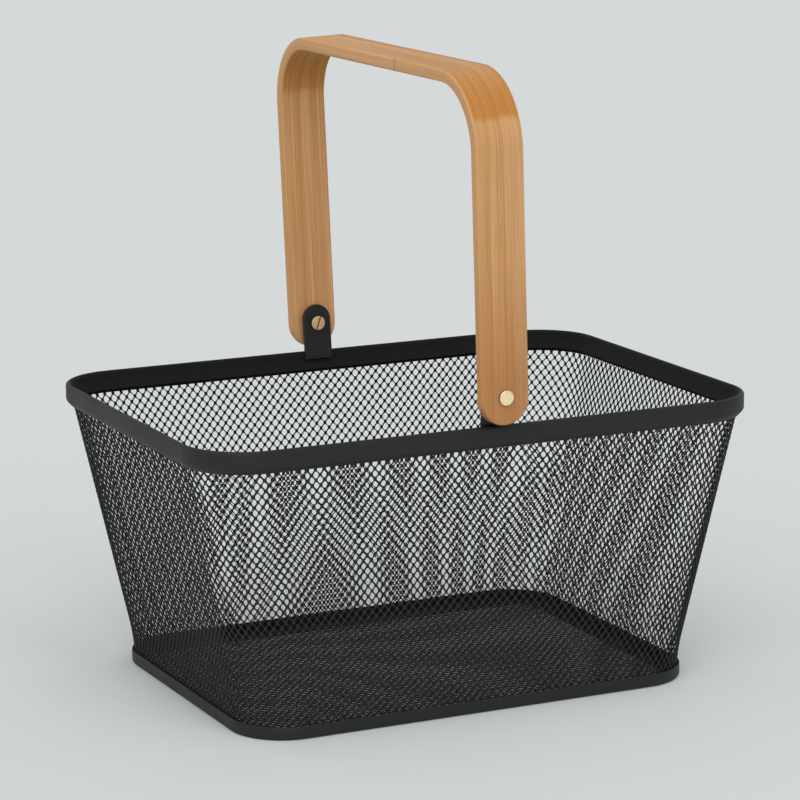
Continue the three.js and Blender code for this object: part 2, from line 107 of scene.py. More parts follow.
# Mesh. Panels reach so many cells to either side of their middle. The first corner's middle is counted in
# cells from the middle of the front. Spare cells are cut away again at the edges.
CELL_WIDTH = 5.0
CELL_HEIGHT = 5.65
CELLS_PER_QUARTER = 50
SPARE_CELLS = 3
CORNER_SQUEEZE = 0.09
BACK_SQUEEZE = 0.024
MESH_SLANT = 0.0066
BACK_STRETCH = 0.031
STRAND = 0.42
STRAND_TILT = 0.25
KNUCKLE = 0.9
MESH_SHEET = 0.6
LONG_WALL_REACH = 27
SHORT_WALL_REACH = 18
CORNER_MIDDLE = 30
CORNER_REACH = 8
FLOOR_STRAND = 1.15
FLOOR_CORNER = 28
FLOOR_CORNER_CUTS = 5
# A face whose normal points this much into the basket has the whole of the rougher inner coat and of its
# painted shade.
FULLY_INWARD = 0.3

# Handle: its strip, then the cross cuts that let it bend, measured from either end of the bend.
HANDLE_WIDTH = 26.6
HANDLE_THICK = 6.8
HANDLE_RISE = 164
HANDLE_BEND = 35.4
HANDLE_END_DROP = 14.6
HANDLE_END_LENGTH = 20
HANDLE_LEAN = 2
HANDLE_EASED_EDGE = 1.3
LEG_SPLAY = 2
LEG_CUTS = (60, 20, 0)
BEND_CUTS = 20
BAR_CUTS = (25, 50)
bend_start = bend_face - HANDLE_THICK / 2 - HANDLE_BEND
bend_end = bend_start + HANDLE_BEND * pi / 2
bend_height = pivot_height + HANDLE_RISE - HANDLE_THICK / 2 - HANDLE_BEND
strip_pivot = bend_end + bend_height - pivot_height
leg_slope = LEG_SPLAY / (bend_height - pivot_height)

# Scorch at the bends, coming from the leg: where it begins, is full and starts to fade, each before the end
# of the bend, and where it is gone, before the bend's start. Then how far its border wavers and how much
# further it reaches down the back leg.
SCORCH_BEGINS = 10.5
SCORCH_FULL = 15
SCORCH_FADES = 20
SCORCH_GONE = 6
SCORCH_WAVER = 5
SCORCH_BACK_REACH = 8
# Node of the cane, from the middle of the crossbar, and where the deeper tone of the front end begins and is
# full, from the front pivot.
CANE_NODE = -32
END_TONE_BEGINS = 70
END_TONE_FULL = 10

# Ears, posts and screws. A dome is given by insets from the head's edge and drops below its top.
POST_HOLE = 2.8
EAR_WIDTH = 16.4
EAR_THICK = 2
EAR_TOP_RISE = 2
EAR_BELOW_HOLE = 4
EAR_EASED_EDGE = 0.45
HEAD_RADIUS = 4
HEAD_THICK = 1.2
HEAD_CHAMFER = 0.15
POST_DOME = ((0, 0.55), (0.12, 0.33), (0.4, 0.17), (1.2, 0.07))
SCREW_DOME = ((0, 0.4), (0.12, 0.2), (0.4, 0.08))
BARREL_RADIUS = 2.5
SHANK_RADIUS = 1.5
SHANK_REACH = 6
SLOT_WIDTH = 0.9
SLOT_DEPTH = 0.85
SLOT_TURN = 19

# Studio: strength, spread, tilt and turn of each lamp, the way to the dim room in front, the paper on the
# floor, and the camera that was fitted to the photograph.
SOFTBOXES = {"left_softbox": (0.5, 60, 50, -55), "front_softbox": (1.2, 60, 50, -10)}
SKY_STRENGTH = 0.8
ROOM_WAY = (-0.1, -0.95, 0.3)
PAPER_REACH = 30000
PAPER_DROP = 0.2
CAMERA_AZIMUTH = -25.74
CAMERA_ELEVATION = 11.98
CAMERA_ROLL = -0.31
CAMERA_TARGET = (-1.21, 0, 148.23)
CAMERA_DISTANCE = 1809.46
CAMERA_LENS = 151.92
CAMERA_SENSOR = 36


def linear(code):
    """Linear colour with full alpha from an sRGB hex code."""
    parts = [int(code[i:i + 2], 16) / 255 for i in (1, 3, 5)]
    return [p / 12.92 if p <= 0.04045 else ((p + 0.055) / 1.055) ** 2.4 for p in parts] + [1]


def add(tree, kind, inputs=(), **settings):
    """Adds one shader node, sets its options, and sets or links its inputs by name or number."""
    made = tree.nodes.new("ShaderNode" + kind)
    for name, value in settings.items():
        setattr(made, name, value)
    for name, value in dict(inputs).items():
        if isinstance(value, bpy.types.NodeSocket):
            tree.links.new(value, made.inputs[name])
        else:
            made.inputs[name].default_value = value
    return made


def new_material(name):
    """Empty material with its node tree."""
    made = bpy.data.materials.new(name)
    made.use_nodes = True
    made.node_tree.nodes.clear()
    return made, made.node_tree


def powder_coated_steel():
    """Sprayed and baked polyester powder: deep matte black, a faint orange peel, broad soft highlights, and a
    rougher coat inside, where the spray gun reaches less, darkened there and on the floor as painted shade."""
    material, tree = new_material("powder_coated_steel")
    place = add(tree, "TexCoord").outputs["Object"]
    inside = add(tree, "Attribute", attribute_name="inside").outputs["Fac"]
    # Real orange peel is about 0.6 mm from bump to bump. It is drawn at 1.4 mm, so that it shows at all.
    peel = add(tree, "TexNoise", {"Vector": place, "Scale": 1 / (1.4 * MM), "Detail": 2.0})
    # Uneven spray, in patches about 25 mm across.
    patch = add(tree, "TexNoise", {"Vector": place, "Scale": 1 / (25 * MM), "Detail": 3.0}).outputs["Fac"]
    outer = add(tree, "Mix", {0: patch, 6: linear("#101112"), 7: linear("#161718")}, data_type="RGBA")
    # Painted shade: faces that look into the basket, and those of its floor, are darkened to #0a0b0c.
    colour = add(tree, "Mix", {0: inside, 6: outer.outputs[2], 7: linear("#0a0b0c")}, data_type="RGBA")
    outer_rough = add(tree, "MapRange", {"Value": patch, "From Min": 0.3, "From Max": 0.7,
                                         "To Min": 0.54, "To Max": 0.64})
    rough = add(tree, "Mix", {0: inside, 2: outer_rough.outputs["Result"], 3: 0.95}, data_type="FLOAT")
    bump = add(tree, "Bump", {"Height": peel.outputs["Fac"], "Strength": 0.25, "Distance": 0.1 * MM})
    coat = add(tree, "BsdfPrincipled", {"Base Color": colour.outputs[2], "Roughness": rough.outputs[0],
                                        "IOR": 1.5, "Normal": bump.outputs["Normal"]})
    add(tree, "OutputMaterial", {"Surface": coat.outputs["BSDF"]})
    return material


def bend_scorch(tree, part, across, strips, fibres):
    """Share of scorch from the heat of the bending former. It starts sharply where the leg ends, fades over
    the bend to the crossbar, follows the fibres, is paler on the inner side and spares the planed edges."""
    along = add(tree, "Math", {0: part["X"]}, operation="ABSOLUTE").outputs[0]
    wavering = add(tree, "Math", {0: strips, 1: SCORCH_WAVER * MM, 2: along}, operation="MULTIPLY_ADD")
    # It reaches further down the back leg than down the front one.
    back_reach = add(tree, "MapRange", {"Value": part["X"], "From Min": -MM, "From Max": MM,
                                        "To Max": SCORCH_BACK_REACH * MM})
    wavering = add(tree, "Math", {0: wavering.outputs[0], 1: back_reach.outputs[0]}, operation="SUBTRACT")
    leg_side = add(tree, "MapRange", {"Value": wavering.outputs[0],
                                      "From Min": (bend_end - SCORCH_BEGINS) * MM,
                                      "From Max": (bend_end - SCORCH_FULL) * MM},
                   interpolation_type="SMOOTHSTEP")
    bar_side = add(tree, "MapRange", {"Value": along, "From Min": (bend_start - SCORCH_GONE) * MM,
                                      "From Max": (bend_end - SCORCH_FADES) * MM},
                   interpolation_type="SMOOTHSTEP")
    face_side = add(tree, "MapRange", {"Value": across, "From Min": (HANDLE_WIDTH / 2 - 0.3) * MM,
                                       "From Max": (HANDLE_WIDTH / 2 - 1.5) * MM})
    outer_side = add(tree, "MapRange", {"Value": part["Z"], "From Min": -HANDLE_THICK / 2 * MM,
                                        "From Max": HANDLE_THICK / 2 * MM, "To Min": 0.75})
    streaks = add(tree, "MapRange", {"Value": fibres, "From Min": 0.35, "From Max": 0.65,
                                     "To Min": 0.62, "To Max": 0.95})
    scorch = leg_side.outputs[0]
    for share in (bar_side, face_side, outer_side, streaks):
        scorch = add(tree, "Math", {0: scorch, 1: share.outputs[0]}, operation="MULTIPLY").outputs[0]
    return scorch


def cane_node(tree, part):
    """Share of the node of the cane: a dark line about 1.5 mm wide, faint on the sanded faces and plain on
    one planed edge."""
    gap = add(tree, "Math", {0: part["X"], 1: CANE_NODE * MM}, operation="SUBTRACT")
    gap = add(tree, "Math", {0: gap.outputs[0]}, operation="ABSOLUTE")
    depth = add(tree, "MapRange", {"Value": part["Y"], "From Min": (1 - HANDLE_WIDTH / 2) * MM,
                                   "From Max": (0.4 - HANDLE_WIDTH / 2) * MM,
                                   "To Min": 0.08, "To Max": 0.34})
    line = add(tree, "MapRange", {"Value": gap.outputs[0], "From Min": 2.2 * MM, "From Max": 0.3 * MM,
                                  "To Max": depth.outputs[0]}, interpolation_type="SMOOTHSTEP")
    return line.outputs[0]


def lacquered_bamboo():
    """Bamboo pressed from thin strips, steamed round the bends and lacquered: tan lengthwise bands and
    fibres, a scorched orange at the bends, a node line across, and a dull satin gloss."""
    material, tree = new_material("lacquered_bamboo")
    # The grain attribute keeps each point's place on the flat strip: along, across and through it, in metres.
    flat = add(tree, "Attribute", attribute_name="grain").outputs["Vector"]
    part = add(tree, "SeparateXYZ", {0: flat}).outputs
    across = add(tree, "Math", {0: part["Y"]}, operation="ABSOLUTE").outputs[0]

    # Strips about 4 mm wide keep their tone for some 300 mm. Real fibres are about 0.3 mm wide, and are drawn
    # 0.8 mm wide and 100 mm long, so that they show. Flecks are the dark ends of vessels, about 7 mm long.
    figure = []
    for sizes, detail, roughness in (((300, 4, 6), 2.0, 0.6),
                                     ((100, 0.8, 0.8), 3.0, 0.65),
                                     ((7, 0.8, 0.8), 1.0, 0.5)):
        place = add(tree, "Mapping", {"Vector": flat, "Scale": [1 / (size * MM) for size in sizes]})
        noise = add(tree, "TexNoise", {"Vector": place.outputs[0], "Scale": 1.0, "Detail": detail,
                                       "Roughness": roughness})
        figure.append(noise.outputs["Fac"])
    strips, fibres, flecks = figure

    strip_share = add(tree, "MapRange", {"Value": strips, "From Min": 0.36, "From Max": 0.64})
    fibre_share = add(tree, "MapRange", {"Value": fibres, "From Min": 0.36, "From Max": 0.68, "To Max": 0.62})
    fleck_share = add(tree, "MapRange", {"Value": flecks, "From Min": 0.68, "From Max": 0.78, "To Max": 0.35})
    # Toward its front end the cane is a little deeper in tone.
    end_share = add(tree, "MapRange", {"Value": part["X"], "From Min": (END_TONE_BEGINS - strip_pivot) * MM,
                                       "From Max": (END_TONE_FULL - strip_pivot) * MM, "To Max": 0.6})
    scorch = bend_scorch(tree, part, across, strips, fibres)
    # Planed edges are a little lighter than the faces.
    edge_share = add(tree, "MapRange", {"Value": across, "From Min": (HANDLE_WIDTH / 2 - 1) * MM,
                                        "From Max": (HANDLE_WIDTH / 2 - 0.2) * MM, "To Max": 0.4})
    node_line = cane_node(tree, part)

    tone = add(tree, "Mix", {0: strip_share.outputs[0], 6: linear("#c2915b"), 7: linear("#d4a97b")},
               data_type="RGBA")
    for share, code in ((fibre_share.outputs[0], "#a9713f"), (fleck_share.outputs[0], "#7d5128"),
                        (end_share.outputs[0], "#9b6637"), (scorch, "#b27023"),
                        (edge_share.outputs[0], "#d0a06c"), (node_line, "#8a5c30")):
        tone = add(tree, "Mix", {0: share, 6: tone.outputs[2], 7: linear(code)}, data_type="RGBA")

    relief = add(tree, "Math", {0: fibres, 1: node_line}, operation="ADD")
    bump = add(tree, "Bump", {"Height": relief.outputs[0], "Strength": 0.3, "Distance": 0.12 * MM})
    rough = add(tree, "MapRange", {"Value": fibres, "From Min": 0.3, "From Max": 0.7,
                                   "To Min": 0.55, "To Max": 0.68})
    wood = add(tree, "BsdfPrincipled", {"Base Color": tone.outputs[2], "Roughness": rough.outputs[0],
                                        "IOR": 1.5, "Specular IOR Level": 0.2,
                                        "Normal": bump.outputs["Normal"]})
    add(tree, "OutputMaterial", {"Surface": wood.outputs["BSDF"]})
    return material


def turned_brass():
    """Bar-turned yellow brass under a film of tarnish: pale gold with fine rings from the lathe, half mirror,
    half milky, because the film scatters light as paint does."""
    material, tree = new_material("turned_brass")
    place = add(tree, "TexCoord").outputs["Object"]
    # Rings round the swing axis. Lathe marks of 0.1 mm would not show, so they are drawn 0.6 mm apart.
    centred = add(tree, "Mapping", {"Vector": place, "Location": (0, 0, -pivot_height * MM)})
    part = add(tree, "SeparateXYZ", {0: centred.outputs[0]}).outputs
    radial = add(tree, "CombineXYZ", {"X": part["X"], "Z": part["Z"]})
    distance = add(tree, "VectorMath", {0: radial.outputs[0]}, operation="LENGTH")
    turn = add(tree, "Math", {0: distance.outputs["Value"], 1: tau / (0.6 * MM)}, operation="MULTIPLY")
    rings = add(tree, "Math", {0: turn.outputs[0]}, operation="SINE")
    # Tarnish in spots about 2 mm across.
    tarnish = add(tree, "TexNoise", {"Vector": place, "Scale": 1 / (2 * MM), "Detail": 3.0}).outputs["Fac"]
    # The screws inside are rubbed less by hands and cloths, so their film is browner than that of the posts.
    depth = add(tree, "Math", {0: part["Y"]}, operation="ABSOLUTE").outputs[0]
    film = add(tree, "MapRange", {"Value": depth, "From Min": post_end * MM, "From Max": screw_top * MM,
                                  "To Max": 0.85})
    # Dirt and painted shade darken the slot and the edge under the screw's head; painted shade darkens the
    # side of the post's head where it meets the leg.
    past_face = add(tree, "MapRange", {"Value": depth, "From Min": (screw_top + 0.3) * MM,
                                       "From Max": (screw_top + 0.7) * MM, "To Max": 0.8})
    seat_gap_shade = add(tree, "MapRange", {"Value": depth, "From Min": (post_top - 0.25) * MM,
                                       "From Max": (post_top - 0.6) * MM, "To Max": 0.8})
    dirt_and_gap_shade = add(tree, "Math", {0: past_face.outputs[0], 1: seat_gap_shade.outputs[0]}, operation="MINIMUM")
    colour = add(tree, "Mix", {0: tarnish, 6: linear("#fff1c4"), 7: linear("#fadfae")}, data_type="RGBA")
    # The last mix paints that dirt and shade in #4f361b.
    for share, code in ((film, "#dcb37a"), (dirt_and_gap_shade, "#4f361b")):
        colour = add(tree, "Mix", {0: share.outputs[0], 6: colour.outputs[2], 7: linear(code)},
                     data_type="RGBA")
    rough = add(tree, "MapRange", {"Value": tarnish, "To Min": 0.3, "To Max": 0.44})
    bump = add(tree, "Bump", {"Height": rings.outputs[0], "Strength": 0.12, "Distance": 0.02 * MM})
    brass = add(tree, "BsdfPrincipled", {"Base Color": colour.outputs[2], "Metallic": 0.5,
                                         "Roughness": rough.outputs[0], "Normal": bump.outputs["Normal"]})
    add(tree, "OutputMaterial", {"Surface": brass.outputs["BSDF"]})
    return material


def finish_piece(name, bm, material, body, smooth=40):
    """Turns a bmesh in millimetres into the piece that stands for its node. Edges that bend by less than the
    smooth angle shade as one surface."""
    bmesh.ops.scale(bm, vec=(MM, MM, MM), verts=bm.verts)
    for face in bm.faces:
        face.smooth = smooth > 0
    for edge in bm.edges:
        edge.smooth = edge.calc_face_angle(pi) < radians(smooth)
    mesh = bpy.data.meshes.new(name)
    bm.to_mesh(mesh)
    bm.free()
    mesh.materials.append(material)
    piece = bpy.data.objects.new(name + "_look", mesh)
    bpy.context.scene.collection.objects.link(piece)
    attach(piece, body)
    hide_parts(name)
    return piece


def keep_flat(piece):
    """Lets the large faces of a piece shade flat, so that only its eased edges look round."""
    weighted = piece.modifiers.new("flat_faces", "WEIGHTED_NORMAL")
    weighted.keep_sharp = True


def only(kind, geom):
    """The vertices or the edges among mixed geometry."""
    return [g for g in geom if isinstance(g, kind)]


def verts_of(chain):
    """The vertices of a chain of edges, each once and in order."""
    return list(dict.fromkeys(v for e in chain for v in e.verts))


def whole(bm):
    """All the geometry of a bmesh."""
    return bm.verts[:] + bm.edges[:] + bm.faces[:]


def round_off(bm, geom, radius, segments, affect="EDGES"):
    """Rounds edges or corners."""
    bmesh.ops.bevel(bm, geom=geom, offset=radius, offset_type="OFFSET", segments=segments, profile=0.5,
                    affect=affect, material=-1)


def trim(bm, point, normal):
    """Cuts away what lies beyond a plane and returns the edges of the cut."""
    cut = bmesh.ops.bisect_plane(bm, geom=whole(bm), dist=0.0001, plane_co=point, plane_no=normal,
                                 clear_outer=True)
    return only(BMEdge, cut["geom_cut"])


def thicken(bm, thickness):
    """Gives a sheet its thickness on the side away from its normals."""
    bmesh.ops.solidify(bm, geom=bm.faces[:], thickness=thickness)


def raise_plate(bm, thickness):
    """Draws a flat outline up into a plate."""
    made = bmesh.ops.extrude_face_region(bm, geom=bm.faces[:])["geom"]
    bmesh.ops.translate(bm, vec=(0, 0, thickness), verts=only(BMVert, made))


def mark_inside_shade(bm):
    """Marks how far each face looks into the basket or lies on its floor, where the coat is rougher and
    darkened as painted shade.
    """
    inside = bm.faces.layers.float.new("inside")
    bm.normal_update()
    for face in bm.faces:
        place, out = face.calc_center_median(), face.normal
        inward = -(out.x * place.x + out.y * place.y) / hypot(place.x, place.y, 1)
        on_floor = out.z > 0.5 and place.z < floor_top + 1
        face[inside] = 1 if on_floor else min(max(inward / FULLY_INWARD, 0), 1)


def drawn_on(bm, points):
    """Joins points into one chain and returns its edges."""
    verts = [bm.verts.new(p) for p in points]
    return [bm.edges.new(pair) for pair in zip(verts, verts[1:])]


def pull(bm, edges, step):
    """Draws a chain of edges out by a step and returns the chain at its new place."""
    made = bmesh.ops.extrude_edge_only(bm, edges=edges)["geom"]
    verts = only(BMVert, made)
    bmesh.ops.translate(bm, vec=step, verts=verts)
    moved = set(verts)
    return [e for e in only(BMEdge, made) if all(v in moved for v in e.verts)]


def strip_round(profile, half_x, half_y, radius, steps=16):
    """Carries a strip's profile of insets and heights round the four sides and corners of the basket."""
    bm = bmesh.new()
    run_x, run_y = half_x - radius, half_y - radius
    chain = drawn_on(bm, [(half_x - inset, -run_y, height) for inset, height in profile])
    corners = [((run_x, run_y), (0, 2 * run_y)), ((-run_x, run_y), (-2 * run_x, 0)),
               ((-run_x, -run_y), (0, -2 * run_y)), ((run_x, -run_y), (2 * run_x, 0))]
    for centre, step in corners:
        chain = pull(bm, chain, (*step, 0))
        spun = bmesh.ops.spin(bm, geom=verts_of(chain) + chain, cent=(*centre, 0), axis=(0, 0, 1),
                              angle=pi / 2, steps=steps)
        chain = only(BMEdge, spun["geom_last"])
    bmesh.ops.remove_doubles(bm, verts=bm.verts, dist=TOUCH)
    bmesh.ops.recalc_face_normals(bm, faces=bm.faces)
    return bm


def soften_folds(bm, height, radius, segments):
    """Rounds the folds that run along a strip at a height."""
    folds = [e for e in bm.edges if all(abs(v.co.z - height) < 0.01 for v in e.verts)
             and e.calc_face_angle(0) > radians(FOLD_ANGLE)]
    round_off(bm, folds, radius, segments)


def top_rim():
    """Steel strip folded over the edge of the mesh, with a lip turned in below."""
    bm = strip_round([(RIM_LIP_REACH, rim_lip), (0, band_foot), (0, rim_top), (RIM_FOLD, rim_top),
                      (RIM_FOLD, mesh_top), (RIM_FOLD + RIM_INNER_LEAN, rim_top - RIM_INNER_HEIGHT)],
                     rim_x, rim_y, RIM_CORNER)
    soften_folds(bm, rim_top, RIM_FOLD / 2 - EDGE_LAND, segments=5)
    soften_folds(bm, band_foot, RIM_CREASE, segments=3)
    soften_folds(bm, mesh_top, RIM_CREASE, segments=2)
    thicken(bm, RIM_SHEET)
    mark_inside_shade(bm)
    return bm


def base_rim():
    """Steel angle strip round the foot, with a flange under the floor."""
    bm = strip_round([(0, base_top), (0, 0), (BASE_FLANGE, 0)], base_x, base_y, BASE_CORNER)
    soften_folds(bm, 0, BASE_EDGE, segments=4)
    thicken(bm, BASE_SHEET)
    soften_folds(bm, base_top, BASE_SHEET / 2 - EDGE_LAND, segments=3)
    mark_inside_shade(bm)
    return bm


def eased(rise, ease):
    """A bend from level to one in one at zero, rounded over a length on either side."""
    if rise <= -ease:
        return 0
    return rise if rise >= ease else (rise + ease) ** 2 / (4 * ease)


def wall_section(height):
    """Half length, half width and corner radius of the mesh wall: upright foot, straight lean, and a flare
    into the rim."""
    foot_sizes = [s - WALL_INSET_FOOT for s in (base_x, base_y, BASE_CORNER)]
    lip_sizes = [s - WALL_INSET_LIP for s in (rim_x, rim_y, RIM_CORNER)]
    flare = (WALL_INSET_LIP - WALL_INSET_TOP) / (mesh_top - rim_lip)
    lean_rise, flare_rise = eased(height - WALL_UPRIGHT, WALL_EASE), eased(height - rim_lip, FLARE_EASE)
    leans = [(b - a) / (rim_lip - WALL_UPRIGHT) for a, b in zip(foot_sizes, lip_sizes)]
    return [a + lean * lean_rise + (flare - lean) * flare_rise for a, lean in zip(foot_sizes, leans)]


def wall_point(column, height, proud):
    """Place on the wall of a point of the flat mesh. Columns count anticlockwise from the front's middle."""
    half_x, half_y, radius = wall_section(height)
    run_x, run_y, bend = half_x - radius, half_y - radius, radius * pi / 2
    quarter, share = divmod(column / CELLS_PER_QUARTER, 1)
    quarter = int(quarter) % 4
    if quarter % 2:
        share = 1 - share
    # Forming the corners squeezes the cells there, more so at the narrow foot and at the back.
    squeeze = CORNER_SQUEEZE * (1 - height / mesh_top) + (BACK_SQUEEZE if quarter in (1, 2) else 0)
    length = (share + squeeze * sin(tau * share) / tau) * (run_x + bend + run_y)
    turn = min(max((length - run_x) / radius, 0), pi / 2)
    x = min(length, run_x) + (radius + proud) * sin(turn)
    y = run_y + (radius + proud) * cos(turn) - max(length - run_x - bend, 0)
    return Vector((x if quarter < 2 else -x, -y if quarter in (0, 3) else y, height))


def expanded_sheet(columns, rows, strand):
    """Flat expanded mesh of diamond cells: slit, stretched and left with its strands tilted."""
    bm = bmesh.new()
    bmesh.ops.create_grid(bm, x_segments=columns, y_segments=rows, size=0.5)
    bmesh.ops.translate(bm, vec=(0.5, 0.5, 0), verts=bm.verts)
    bmesh.ops.scale(bm, vec=(columns * CELL_WIDTH, rows * CELL_HEIGHT, 1), verts=bm.verts)
    # Poked through their middles and freed of their old edges, the squares become diamonds.
    slits = [e for e in bm.edges if len(e.link_faces) == 2]
    bmesh.ops.poke(bm, faces=bm.faces[:])
    bmesh.ops.dissolve_edges(bm, edges=slits, use_verts=False)
    # Cut corners leave a knuckle where four diamonds meet, and cells of eight sides. What remains round the
    # holes in these are the strands.
    knots = [v for v in bm.verts if len(v.link_faces) == 4]
    round_off(bm, knots, KNUCKLE, segments=1, affect="VERTICES")
    cells = [f for f in bm.faces if len(f.verts) == 8]
    bmesh.ops.inset_individual(bm, faces=cells, thickness=strand / 2, use_even_offset=True)
    for cell in cells:
        middle = cell.calc_center_median().y
        for vert in cell.verts:
            vert.co.z += STRAND_TILT * (vert.co.y - middle) / (CELL_HEIGHT / 2)
    bmesh.ops.delete(bm, geom=cells, context="FACES")
    return bm


def wall_mesh(middle, reach, beyond_x, beyond_y):
    """One panel of the wall. Across X and across Y it keeps what is past the seam on the side of 1 or -1, or
    for 0 what is between the seams of both sides. For None it has no seam that way."""
    first, columns = middle - reach, 2 * reach
    rows = int((mesh_top - mesh_foot) / CELL_HEIGHT) + SPARE_CELLS
    bm = expanded_sheet(columns, rows, STRAND)
    for vert in bm.verts:
        column = first + vert.co.x / CELL_WIDTH
        # Forming stretched the strip a little taller toward the back and askew, so its columns of cells lean.
        taller = 1 + BACK_STRETCH * (1 - cos(tau * column / (4 * CELLS_PER_QUARTER))) / 2
        height = mesh_foot - CELL_HEIGHT + vert.co.y * taller
        slant = MESH_SLANT * (height - mesh_top / 2)
        vert.co = wall_point(column + slant / CELL_WIDTH, height, vert.co.z)
    foot_x, foot_y, foot_radius = wall_section(0)
    lip_x, lip_y, lip_radius = wall_section(rim_lip)
    seams = [(Vector((1, 0, 0)), foot_x - foot_radius, lip_x - lip_radius, beyond_x),
             (Vector((0, 1, 0)), foot_y - foot_radius, lip_y - lip_radius, beyond_y)]
    for out, foot_run, lip_run, beyond in seams:
        if beyond is None:
            continue
        for side in ([beyond] if beyond else [1, -1]):
            point = Vector((0, 0, WALL_UPRIGHT)) + out * side * foot_run
            normal = out * side * (rim_lip - WALL_UPRIGHT) - Vector((0, 0, lip_run - foot_run))
            trim(bm, point, -normal if beyond else normal)
    trim(bm, (0, 0, mesh_top), (0, 0, 1))
    trim(bm, (0, 0, mesh_foot), (0, 0, -1))
    thicken(bm, MESH_SHEET)
    mark_inside_shade(bm)
    return bm


def floor_mesh():
    """Floor of the same mesh, stretched less open and cut to a rounded oblong that lies on the flange of the
    base strip."""
    columns = int(2 * floor_x / CELL_WIDTH) + SPARE_CELLS
    rows = int(2 * floor_y / CELL_HEIGHT) + SPARE_CELLS
    bm = expanded_sheet(columns, rows, FLOOR_STRAND)
    middle = (-columns * CELL_WIDTH / 2, -rows * CELL_HEIGHT / 2, floor_seat + MESH_SHEET)
    bmesh.ops.translate(bm, vec=middle, verts=bm.verts)
    for quarter, (side_x, side_y) in enumerate(((1, 1), (-1, 1), (-1, -1), (1, -1))):
        centre = Vector((side_x * (floor_x - FLOOR_CORNER), side_y * (floor_y - FLOOR_CORNER), 0))
        for cut in range(FLOOR_CORNER_CUTS):
            angle = (quarter + cut / FLOOR_CORNER_CUTS) * pi / 2
            out = Vector((cos(angle), sin(angle), 0))
            trim(bm, centre + out * FLOOR_CORNER, out)
    thicken(bm, MESH_SHEET)
    mark_inside_shade(bm)
    return bm


def drilled_end(bm, radius, centre, hole, foot, segments=32):
    """Flat tab along X with a round end, a hole at the origin and a straight foot, whose edges it returns."""
    outline = bmesh.ops.create_circle(bm, segments=segments, radius=radius,
                                      matrix=Matrix.Translation((centre, 0, 0)))["verts"]
    bmesh.ops.create_circle(bm, segments=segments, radius=hole)
    bmesh.ops.bridge_loops(bm, edges=bm.edges[:])
    # The inner points of the foot are drawn in to this share, clear of the edge, which is eased later.
    inner_share = 0.8
    for vert in outline:
        if vert.co.x < centre - TOUCH:
            across = vert.co.y / cos(tau / segments)
            at_edge = abs(across) > radius - TOUCH
            vert.co = (foot, across if at_edge else inner_share * across, 0)
    return [e for e in bm.edges if all(abs(v.co.x - foot) < TOUCH for v in e.verts)]


def ease_edges(bm, width, hole_place=0):
    """Rounds the sharp edges of a cut piece, apart from those of the drilled holes."""
    sharp = [e for e in bm.edges if e.calc_face_angle(0) > radians(SHARP_ANGLE)
             and hypot(abs(e.verts[0].co.x) - hole_place, e.verts[0].co.y) > POST_HOLE + 0.1]
    round_off(bm, sharp, width, segments=3)


def ear(side):
    """Steel tab that stands inside the rim and leans out as the wall does, round at the top, drilled for the
    post."""
    bm = bmesh.new()
    tab_foot = -POST_HOLE - EAR_BELOW_HOLE
    chain = drilled_end(bm, EAR_WIDTH / 2, EAR_TOP_RISE, POST_HOLE, tab_foot)
    pull(bm, chain, (ear_foot - pivot_height - tab_foot, 0, 0))
    raise_plate(bm, EAR_THICK)
    bmesh.ops.recalc_face_normals(bm, faces=bm.faces)
    ease_edges(bm, EAR_EASED_EDGE)
    lean = (ear_face - EAR_THICK - ear_inner_foot) / (ear_top - ear_foot)
    for vert in bm.verts:
        vert.co.z -= lean * (ear_top - pivot_height - vert.co.x)
    stand = Matrix(((0, side, 0, 0), (0, 0, side, side * (ear_face - EAR_THICK)), (1, 0, 0, pivot_height),
                    (0, 0, 0, 1)))
    bmesh.ops.transform(bm, matrix=stand, verts=bm.verts)
    bmesh.ops.recalc_face_normals(bm, faces=bm.faces)
    return bm


def bent(point):
    """Place on the arch of a point of the flat strip: along it from the middle of the crossbar, across and
    through."""
    along, across, through = point
    side, along = (1 if along > 0 else -1), abs(along)
    if along <= bend_start:
        return Vector((across, side * along, bend_height + HANDLE_BEND + through))
    turn = min((along - bend_start) / HANDLE_BEND, pi / 2)
    radius, leg = HANDLE_BEND + through, max(along - bend_end, 0)
    return Vector((across, side * (bend_start + radius * sin(turn) - leg_slope * leg),
                   bend_height + radius * cos(turn) - leg))


def handle():
    """Bamboo strip cut flat, drilled, eased along its edges and bent round a former into an arch."""
    bm = bmesh.new()
    chain = drilled_end(bm, HANDLE_WIDTH / 2, HANDLE_END_DROP - HANDLE_WIDTH / 2, POST_HOLE,
                        -HANDLE_END_LENGTH)
    bmesh.ops.translate(bm, vec=(strip_pivot, 0, 0), verts=bm.verts)
    stops = [bend_end + cut for cut in LEG_CUTS]
    stops += [bend_end - (bend_end - bend_start) * i / BEND_CUTS for i in range(1, BEND_CUTS + 1)]
    stops += [bend_start - cut for cut in BAR_CUTS] + [0]
    place = strip_pivot - HANDLE_END_LENGTH
    for stop in stops:
        chain = pull(bm, chain, (stop - place, 0, 0))
        place = stop
    bmesh.ops.mirror(bm, geom=whole(bm), merge_dist=0.01, axis="X")
    bmesh.ops.recalc_face_normals(bm, faces=bm.faces)
    raise_plate(bm, HANDLE_THICK)
    bmesh.ops.translate(bm, vec=(0, 0, -HANDLE_THICK / 2), verts=bm.verts)
    bmesh.ops.recalc_face_normals(bm, faces=bm.faces)
    ease_edges(bm, HANDLE_EASED_EDGE, strip_pivot)
    grain = bm.verts.layers.float_vector.new("grain")
    for vert in bm.verts:
        vert[grain] = vert.co * MM
        vert.co = bent(vert.co)
    bmesh.ops.recalc_face_normals(bm, faces=bm.faces)
    lean = Matrix.Rotation(-radians(HANDLE_LEAN), 3, "Y")
    bmesh.ops.rotate(bm, cent=(0, 0, pivot_height), matrix=lean, verts=bm.verts)
    return bm


